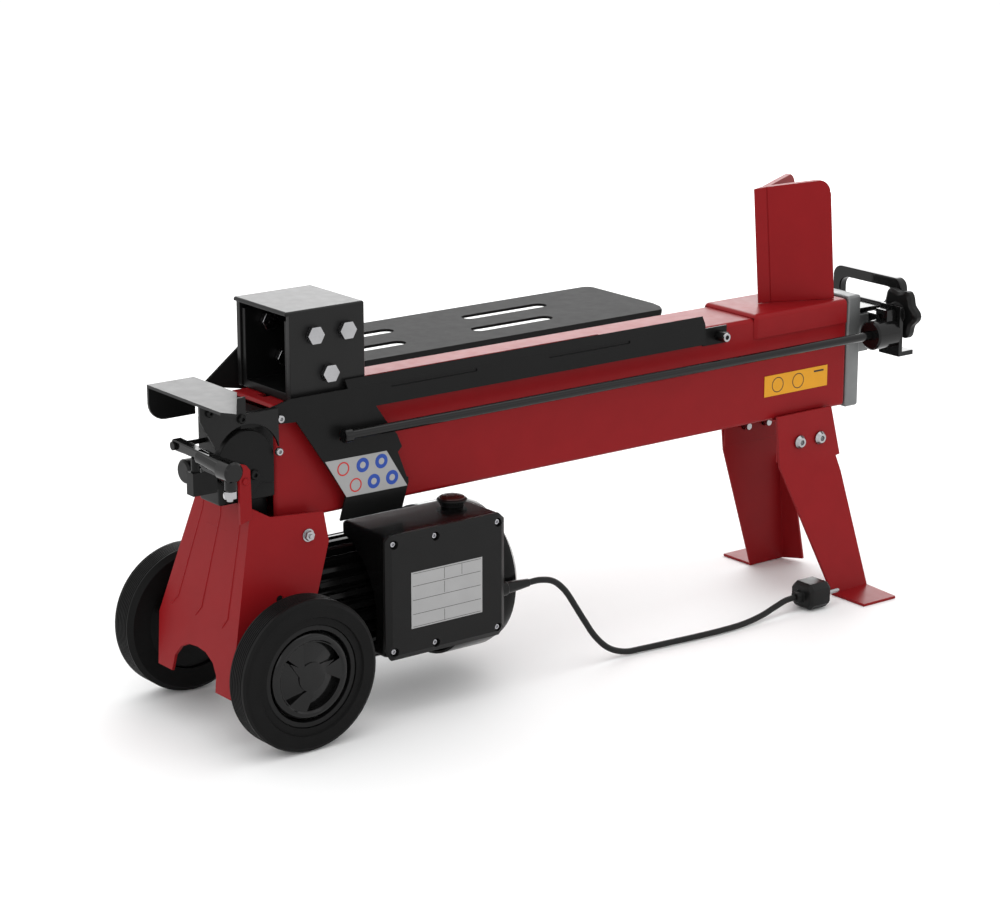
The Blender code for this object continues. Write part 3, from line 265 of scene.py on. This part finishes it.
def circle(axis, along, centre, radius, count, start=0.0):
    """A ring of points round an axis."""
    angles = [start + 2 * math.pi * i / count for i in range(count)]
    return [
        on_axis(axis, along, centre[0] + radius * math.cos(a), centre[1] + radius * math.sin(a))
        for a in angles
    ]


def turned(axis, centre, profile, count=48, hollow=False):
    """A turned shape from its distances along the axis and its radii; hollow joins its two ends."""
    return loft([circle(axis, along, centre, radius, count) for along, radius in profile], hollow)


def prism(axis, outline, low, high):
    """An outline carried along an axis from low to high."""
    return loft([[on_axis(axis, along, *point) for point in outline] for along in (low, high)])


def arc(centre, radius, first, last, count):
    """Points on an arc, from its first angle to its last one in degrees."""
    angles = [math.radians(first + (last - first) * i / (count - 1)) for i in range(count)]
    return [(centre[0] + radius * math.cos(a), centre[1] + radius * math.sin(a)) for a in angles]


def hexagon(axis, along, centre, flats, turn=0.0):
    """A ring of six points, from its width across the flats."""
    return circle(axis, along, centre, flats / 2 / math.cos(math.radians(30)), 6, math.radians(turn))


def new_object(name, shape):
    """An object in the scene from a bmesh, which is used up."""
    bmesh.ops.recalc_face_normals(shape, faces=shape.faces)
    mesh = bpy.data.meshes.new(name)
    shape.to_mesh(mesh)
    shape.free()
    obj = bpy.data.objects.new(name, mesh)
    bpy.context.scene.collection.objects.link(obj)
    return obj


def bake(obj):
    """Puts the modifiers' result into the object's own mesh."""
    graph = bpy.context.evaluated_depsgraph_get()
    mesh = bpy.data.meshes.new_from_object(obj.evaluated_get(graph))
    obj.modifiers.clear()
    obj.data = mesh


def boolean(obj, shape, operation):
    """Joins a bmesh to the object, or cuts it away."""
    tool = new_object("tool", shape)
    modifier = obj.modifiers.new("tool", "BOOLEAN")
    modifier.operation = operation
    modifier.solver = "EXACT"
    modifier.object = tool
    bake(obj)
    bpy.data.objects.remove(tool, do_unlink=True)


def piece(name, shape, finish, body="machine", hides=(), soft=0.0, segments=2, limit=32,
          cuts=(), joins=(), smooth=35):
    """One visible piece on the body that it moves with.

    Edges sharper than limit degrees get a round of width soft, and those over smooth stay sharp.
    """
    obj = new_object(name, shape)
    for tool in joins:
        boolean(obj, tool, "UNION")
    for tool in cuts:
        boolean(obj, tool, "DIFFERENCE")
    if soft:
        edges = obj.modifiers.new("soft", "BEVEL")
        edges.width = soft
        edges.segments = segments
        edges.limit_method = "ANGLE"
        edges.angle_limit = math.radians(limit)
        edges.use_clamp_overlap = True
        bake(obj)
    obj.data.shade_smooth()
    obj.data.set_sharp_from_angle(angle=math.radians(smooth))
    even = obj.modifiers.new("even", "WEIGHTED_NORMAL")
    even.keep_sharp = True
    obj.data.materials.clear()
    obj.data.materials.append(finish)
    obj.location = SHIFT
    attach(obj, body)
    if hides:
        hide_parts(*hides)
    return obj


WELD, FLAT = 2e-6, math.radians(1.0)  # what counts as one point and as one flat face


def refine(node, finish, soft=0.0006, **more):
    """The CAD node's own shape with softened edges and a better surface."""
    shape = bmesh.new()
    shape.from_mesh(frame["nodes"][node].data)
    bmesh.ops.remove_doubles(shape, verts=shape.verts, dist=WELD)
    bmesh.ops.dissolve_limit(shape, angle_limit=FLAT, verts=shape.verts, edges=shape.edges)
    bmesh.ops.translate(shape, verts=shape.verts, vec=-SHIFT)
    return piece(f"{node}_skin", shape, finish, BODY_OF[node], (node,), soft, **more)


def tube(points, radius, count=10):
    """A round bar along a line of points."""
    line = [Vector(point) for point in points]
    rings = []
    for i, here in enumerate(line):
        along = (line[min(i + 1, len(line) - 1)] - line[max(i - 1, 0)]).normalized()
        guide = Vector((0, 0, 1)) if abs(along.z) < 0.8 else Vector((0, 1, 0))
        side = along.cross(guide).normalized()
        rise = side.cross(along)
        turns = [2 * math.pi * k / count for k in range(count)]
        rings.append([here + radius * (math.cos(a) * side + math.sin(a) * rise) for a in turns])
    return loft(rings)


def screw(name, place, radius, height, finish=None, body="machine", socket=True, flats=False):
    """A screw head on a face towards the near side, with a socket in it."""
    x, y, z = place
    top = y - height
    if flats:
        washer = turned("y", (x, z), [(y, radius * 1.3), (y - 0.0012, radius * 1.3)], 28)
        shape = loft([hexagon("y", d, (x, z), radius * 1.8, 12) for d in (y - 0.0010, top)])
        stud = turned("y", (x, z), [(top + 0.001, radius * 0.45), (top - 0.002, radius * 0.45)], 16)
        return piece(name, shape, finish or ZINC, body, soft=0.0005, joins=(washer, stud))
    shape = turned("y", (x, z), [(y, radius), (top + height * 0.4, radius), (top, radius * 0.8)], 28)
    well = loft([hexagon("y", d, (x, z), radius * 0.8) for d in (top - 0.001, top + height * 0.6)])
    return piece(name, shape, finish or ZINC, body, soft=0.0002, cuts=(well,) if socket else ())


def plate(name, outline, y, thick, finish, body="machine"):
    """A thin label on a face towards the near side, from its x and z corners."""
    return piece(name, prism("y", outline, y - thick, y), finish, body)


# ---- pieces of their own ------------------------------------------------------------------------
def make_tyre(side):
    """A solid tyre with fine grooves round its tread and a stepped side wall."""
    turn = -1 if side == "near" else 1
    grooves, pitch, deep = 7, 0.0028, WHEEL_RADIUS - 0.0008
    bead, shoulder = 0.0525, 0.0725  # radii of the tyre's bore and of its side wall's top
    profile = [(WHEEL_INNER, bead), (WHEEL_INNER, shoulder), (WHEEL_INNER + 0.0050, WHEEL_RADIUS)]
    for k in range(grooves):
        y = WHEEL_INNER + 0.0072 + k * pitch
        profile += [(y, WHEEL_RADIUS), (y + 0.0003, deep), (y + 0.0011, deep)]
        profile.append((y + 0.0014, WHEEL_RADIUS))
    profile += [
        (WHEEL_OUTER - 0.0048, WHEEL_RADIUS),
        (WHEEL_OUTER - 0.0018, 0.0758),
        (WHEEL_OUTER, shoulder),
        (WHEEL_OUTER, 0.0605),
        (WHEEL_OUTER - 0.0020, 0.0595),
        (WHEEL_OUTER - 0.0020, bead),
    ]
    shape = turned("y", (0.0, WHEEL_RADIUS), [(turn * y, r) for y, r in profile], 96, True)
    node = f"tyre_{side}"
    piece(f"{node}_skin", shape, RUBBER, BODY_OF[node], (node,), 0.0, smooth=28)


def make_hub_cap(side):
    """A glossy cap with a rim, three swept hollows and a low dome in the middle."""
    turn = -1 if side == "near" else 1
    centre = (0.0, WHEEL_RADIUS)
    back, face = WHEEL_OUTER - 0.0122, WHEEL_OUTER - 0.0010
    profile = [
        (back, CAP_RADIUS),
        (face - 0.0035, CAP_RADIUS),
        (face - 0.0008, 0.0418),
        (face, 0.0400),
        (face, 0.0375),
        (face - 0.0016, 0.0360),
        (face - 0.0016, 0.0190),
        (face, 0.0150),
        (face + 0.0008, 0.0070),
    ]
    shape = turned("y", centre, [(turn * y, r) for y, r in profile], 72)
    eye_radius, rim_radius = 0.0150, 0.0352  # where a hollow starts and ends
    pocket_ends = (turn * (back - 0.008), turn * (face - 0.0030))
    pocket = turned("y", centre, [(y, 0.0125) for y in pocket_ends], 24)
    front, shallow, deep = (turn * (face + d) for d in (0.003, -0.0022, -0.0075))
    steps = 12
    hollows = []
    for first in (20, 140, 260):
        rings = []
        for step in range(steps + 1):
            outer, inner = first + 84 * step / steps, first + 30 + 74 * step / steps
            rim = arc(centre, rim_radius, outer, outer + 1, 2)[0]
            eye = arc(centre, eye_radius, inner, inner + 1, 2)[0]
            rings.append([
                (rim[0], front, rim[1]),
                (eye[0], front, eye[1]),
                (eye[0], shallow, eye[1]),
                (rim[0], deep, rim[1]),
            ])
        hollows.append(loft(rings))
    node = f"hub_cap_{side}"
    piece(f"{node}_skin", shape, GLOSS, BODY_OF[node], (node,), 0.0007, cuts=(pocket, *hollows))


def make_switch_cover():
    """The cover of the switch box: a sloped band round a flat panel, with six sunken screws."""
    back_y, fold_y, inset = -0.0961, -0.0995, 0.0060
    lows, highs = ([pick(row) for row in zip(*COVER_OUTLINE)] for pick in (min, max))
    middle = [(low + high) / 2 for low, high in zip(lows, highs)]
    half = [(high - low) / 2 for low, high in zip(lows, highs)]

    def ring(y, less):
        scale = [1 - less / h for h in half]
        return [
            (middle[0] + (x - middle[0]) * scale[0], y, middle[1] + (z - middle[1]) * scale[1])
            for x, z in COVER_OUTLINE
        ]

    shape = loft([ring(back_y, 0.0), ring(fold_y, 0.0), ring(PANEL_Y, inset)])
    spots = [(x, z) for z in (0.1845, 0.0715) for x in (0.1150, 0.1660, 0.2450)]
    wells = [turned("y", spot, [(-0.106, 0.0046), (-0.0985, 0.0046)], 24) for spot in spots]
    hides = ("switch_box_cover",)
    piece("switch_box_cover_skin", shape, PANEL, "machine", hides, 0.0006, cuts=wells)
    for number, (x, z) in enumerate(spots, 1):
        screw(f"cover_screw_{number}", (x, -0.0980, z), 0.0034, 0.0026, GROUND)


def make_rating_plate():
    """A blank white plate on the switch box, ruled like a table, with nothing written in it."""
    low, high, y = (0.1349, 0.0927), (0.2238, 0.1520), PANEL_Y - 0.0001
    outline = [low, (high[0], low[1]), high, (low[0], high[1])]
    plate("rating_plate", outline, y, LABEL_THICK, PAPER)
    edge, frame_gap, half_line = 0.002, 0.0016, 0.0002
    rows = [low[1] + (high[1] - low[1]) * k / 4 for k in range(5)]
    across = [*rows[1:4], low[1] + frame_gap, high[1] - frame_gap]
    bars = [((low[0] + edge, z - half_line), (high[0] - edge, z + half_line)) for z in across]
    for x, bottom, top in ((0.176, 3, 4), (0.198, 3, 4), (0.176, 2, 3), (0.176, 0, 1)):
        bars.append(((x - half_line, rows[bottom] + 0.0014), (x + half_line, rows[top] - 0.0014)))
    for number, ((a, b), (c, d)) in enumerate(bars, 1):
        outline = [(a, b), (c, b), (c, d), (a, d)]
        plate(f"rating_line_{number}", outline, y - LABEL_THICK, 0.00008, INK)


def band(y, outer, inner, thick):
    """The profile of a flat ring that stands proud of y towards the near side."""
    return [(y, outer), (y - thick, outer), (y - thick, inner), (y, inner)]


def make_apron_label():
    """A silver plate on the side plate's apron, with six plain discs and rings."""
    y = -0.0563
    corner = Vector((0.0654, 0.2684))
    across, down = Vector((0.0742, -0.0006)), Vector((0.0250, -0.0405))
    edge = [corner, corner + across, corner + across + down, corner + down]
    plate("apron_label", [tuple(v) for v in edge], y, LABEL_THICK, SILVER)
    spots = ((0.20, 0.26), (0.52, 0.25), (0.83, 0.24), (0.24, 0.73), (0.54, 0.72), (0.845, 0.71))
    for number, (u, v) in enumerate(spots, 1):
        spot = tuple(corner + u * across + v * down)
        if number in (1, 4):
            shape = turned("y", spot, band(y - 0.0002, 0.0072, 0.0058, 0.0003), 32, True)
            piece(f"apron_ring_{number}", shape, WARM)
            continue
        disc = turned("y", spot, [(y - 0.0002, 0.0075), (y - 0.0005, 0.0075)], 32)
        piece(f"apron_disc_{number}", disc, BLUE)
        dot = turned("y", spot, [(y - 0.0004, 0.0034), (y - 0.00058, 0.0034)], 24)
        piece(f"apron_dot_{number}", dot, PAPER)


def make_beam_label():
    """A yellow plate on the beam with two rings and a bar."""
    y = -0.0413
    outline = [(0.6650, 0.2380), (0.7610, 0.2380), (0.7610, 0.2620), (0.6650, 0.2620)]
    plate("beam_label", outline, y, LABEL_THICK, YELLOW)
    for number, x in enumerate((0.6850, 0.7160), 1):
        shape = turned("y", (x, 0.2500), band(y - 0.0002, 0.0088, 0.0078, 0.0002), 32, True)
        piece(f"beam_label_ring_{number}", shape, INK)
    outline = [(0.7400, 0.2560), (0.7550, 0.2560), (0.7550, 0.2580), (0.7400, 0.2580)]
    plate("beam_label_bar", outline, y - 0.0002, 0.0002, INK)


def make_leg_details():
    """Three pressed beads down the leaning face of the front leg, a nut on its cheek and a screw."""
    top, foot, knee = 0.2355, 0.050, 0.100
    proud, bead_radius = 0.0013, 0.0011

    def on_face(share, z, aside=0.0):
        """A point on the face: share runs from its near edge to its far one."""
        near = -0.0545 - 0.0158 * (top - z) / (top - foot)
        far = 0.0405 + 0.0370 * (top - z) / (top - knee)
        x = -0.0205 - 0.0380 * (top - z) / (top - foot) - proud
        return (x, near + share * (far - near) + aside, z)

    high, low, hook = 0.230, 0.124, 0.008
    for number, share in enumerate((0.83, 0.50, 0.14), 1):
        line = [
            on_face(share, high, hook / 2),
            on_face(share, high - 0.010),
            on_face(share, low),
            on_face(share, low - 0.010, hook),
        ]
        piece(f"leg_bead_{number}", tube(line, bead_radius, 8), RED)
    screw("cheek_nut", (0.0420, -0.0590, 0.1980), 0.0052, 0.0050, flats=True)
    screw("tab_screw", (-0.0285, -0.0574, 0.2650), 0.0036, 0.0020, RED, socket=False)


def make_leg_bolts():
    """Round heads with sockets on the rear legs, on plain shanks."""
    for number in range(1, 5):
        node = f"leg_bolt_{number}"
        side = -1 if number < 3 else 1
        centre = (0.7135 if number % 2 else 0.7445, 0.1805)
        inner, seat, top = 0.0346, 0.0492, 0.0546
        shank, head = 0.0038, 0.0078
        profile = [(inner, shank), (seat, shank), (seat, head), (seat + 0.0022, head), (top, 0.0052)]
        shape = turned("y", centre, [(side * y, r) for y, r in profile], 32)
        well = loft([hexagon("y", side * y, centre, 0.0056) for y in (top - 0.0030, top + 0.002)])
        piece(f"{node}_skin", shape, ZINC, "machine", (node,), 0.0003, cuts=(well,))


def make_guard_screws():
    """The small screws round the guard's near plate."""
    places = (
        ((-0.0684, -0.0599, 0.3404), 0.0042, SATIN),
        ((-0.0327, -0.0599, 0.3290), 0.0046, SATIN),
        ((0.0135, -0.0561, 0.3211), 0.0044, ZINC),
        ((0.0112, -0.0561, 0.2885), 0.0042, ZINC),
        ((-0.0160, -0.0534, 0.2690), 0.0052, SATIN),
    )
    for number, (place, radius, finish) in enumerate(places, 1):
        screw(f"guard_screw_{number}", place, radius, 0.0036, finish)


def make_small_things():
    """The nut under the lever's knob and the button's cap."""
    centre = (LEVER_X, LEVER_KNOB_Y)
    nut = loft([hexagon("z", z, centre, 0.0120, 8) for z in (0.2690, 0.2764)])
    stud = turned("z", centre, [(0.2660, 0.0032), (0.2700, 0.0032)], 16)
    piece("lever_nut", nut, ZINC, "lever", soft=0.0006, joins=(stud,))
    z = 0.1925
    profile = [(z + 0.0080, 0.0138), (z + 0.0092, 0.0132), (z + 0.0102, 0.0100), (z + 0.0106, 0.0050)]
    dome = turned("z", (0.229, -0.045), profile, 36)
    piece("button_dome", dome, MEMBRANE, "button", soft=0.0002)


def make_bolt_ring():
    """The bright ring round the rail's bolt."""
    eye = [(-0.0576, 0.0050), (-0.0592, 0.0046), (-0.0592, 0.0026), (-0.0576, 0.0026)]
    piece("rail_bolt_ring", turned("y", (0.592, 0.3205), eye, 32, True), ZINC)


def make_lever_sleeve():
    """The round sleeve on the lever's arm."""
    sleeve = tube([(LEVER_X, -0.0580, 0.2990), (LEVER_X, -0.0985, 0.2955)], 0.0078, 24)
    piece("lever_sleeve", sleeve, GLOSS, "lever", soft=0.0012, segments=3)


# ---- all pieces, in order -----------------------------------------------------------------------
make_switch_cover()
make_rating_plate()
make_apron_label()
make_beam_label()
make_leg_details()
make_guard_screws()
make_small_things()
refine("main_beam", RED, 0.0)
refine("end_cap", CAST, 0.0012)
refine("wedge_saddle", RED, 0.0012, limit=40)
fold_lines = [tube([(0.7062, y, 0.3325), (0.6953, y, 0.4710)], 0.0009, 8) for y in (-0.0036, 0.0036)]
refine("wedge", RED, 0.0006, limit=25, cuts=fold_lines)
refine("log_rail", BLACK, 0.0004)
refine("log_table", TABLE, 0.0005)
refine("rail_bolt", SATIN, 0.0008)
make_bolt_ring()
refine("piston_rod", GROUND, 0.0004)
refine("ram_cylinder", GROUND, 0.0006)
refine("return_spring", ZINC, 0.0, smooth=80)
refine("pusher_box", LID, 0.0006)
refine("pusher_carriage", SATIN, 0.0006)
for number in range(1, 7):
    refine(f"pusher_bolt_{number}", ZINC, 0.0007)
make_leg_bolts()
refine("stop_rod", GLOSS, 0.0004)
refine("clamp_collar", GLOSS, 0.0010)
refine("star_knob", PLASTIC, 0.0016, segments=3)
refine("end_bracket", GLOSS, 0.0008)
refine("carry_handle", GLOSS, 0.0022, segments=3)
refine("front_leg", RED, 0.0006)
refine("axle", ZINC, 0.0005)
refine("rear_bracket", RED, 0.0005)
refine("rear_leg_near", RED, 0.0006)
refine("rear_leg_far", RED, 0.0006)
refine("valve_block", SATIN, 0.0006)
refine("valve_cover", BLACK, 0.0008)
refine("valve_spool", SATIN, 0.0003)
refine("control_lever", GLOSS, 0.0042, segments=4)
refine("lever_knob", GLOSS, 0.0020, segments=3)
refine("lever_pin", SATIN, 0.0004)
make_lever_sleeve()
for node, finish, soft in (
    ("lever_guard", LID, 0.0005),
    ("bleed_screw", PLASTIC, 0.0006),
    ("gear_pump", SATIN, 0.0006),
    ("motor_housing", ENAMEL, 0.0007),
    ("fan_cover", ENAMEL, 0.0006),
    ("rotor", GROUND, 0.0005),
    ("stator", COPPER, 0.0005),
    ("fan", PLASTIC, 0.0004),
    ("switch_box", ENAMEL, 0.0010),
    ("start_button", PLASTIC, 0.0006),
):
    refine(node, finish, soft)
for side in ("near", "far"):
    make_tyre(side)
    refine(f"wheel_{side}", PLASTIC, 0.0008)
    make_hub_cap(side)
refine("cord_gland", PLASTIC, 0.0006)
refine("plug", PLASTIC, 0.0008)
refine("plug_pin_1", ZINC, 0.0004)
refine("plug_pin_2", ZINC, 0.0004)


# ---- cord ---------------------------------------------------------------------------------------
CORD_ROUTE = (  # from the strain relief down to the floor and along it to the plug
    (0.2945, -0.0902, 0.1070),
    (0.3100, -0.0904, 0.1068),
    (0.3270, -0.0908, 0.1020),
    (0.3420, -0.0914, 0.0890),
    (0.3550, -0.0920, 0.0700),
    (0.3680, -0.0926, 0.0500),
    (0.3820, -0.0932, 0.0300),
    (0.4000, -0.0940, 0.0135),
    (0.4220, -0.0950, 0.0050),
    (0.4460, -0.0962, 0.0037),
    (0.4780, -0.0988, 0.0037),
    (0.5140, -0.1015, 0.0037),
    (0.5500, -0.1030, 0.0037),
    (0.5850, -0.1020, 0.0040),
    (0.6150, -0.0990, 0.0065),
    (0.6380, -0.0960, 0.0110),
    (0.6560, -0.0945, 0.0150),
    (0.6700, -0.0940, 0.0158),
)


def smooth_route(points, per_span):
    """A Catmull-Rom curve through the route's own points."""
    last = len(points) - 1
    fine = []
    for i in range(last):
        p0, p1, p2, p3 = (Vector(points[min(max(k, 0), last)]) for k in range(i - 1, i + 3))
        for k in range(per_span):
            t = k / per_span
            straight = 2 * p1 + (p2 - p0) * t
            bent = (2 * p0 - 5 * p1 + 4 * p2 - p3) * t**2 + (3 * p1 - p0 - 3 * p2 + p3) * t**3
            fine.append(0.5 * (straight + bent))
    fine.append(Vector(points[-1]))
    return fine


def make_cord():
    """The free cord: a curve with a round section that ends in the plug."""
    curve = bpy.data.curves.new("cord_line", "CURVE")
    curve.dimensions = "3D"
    curve.bevel_depth = CORD_RADIUS
    curve.bevel_resolution = 5
    curve.use_fill_caps = True
    route = smooth_route(CORD_ROUTE, 5)
    spline = curve.splines.new("POLY")
    spline.points.add(len(route) - 1)
    for point, place in zip(spline.points, route):
        point.co = (*(place + SHIFT), 1.0)
    spline.use_smooth = True
    obj = bpy.data.objects.new("cord_line", curve)
    bpy.context.scene.collection.objects.link(obj)
    curve.materials.append(CORD)
    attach(obj, "machine")
    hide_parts("power_cord")


make_cord()
make_stage()
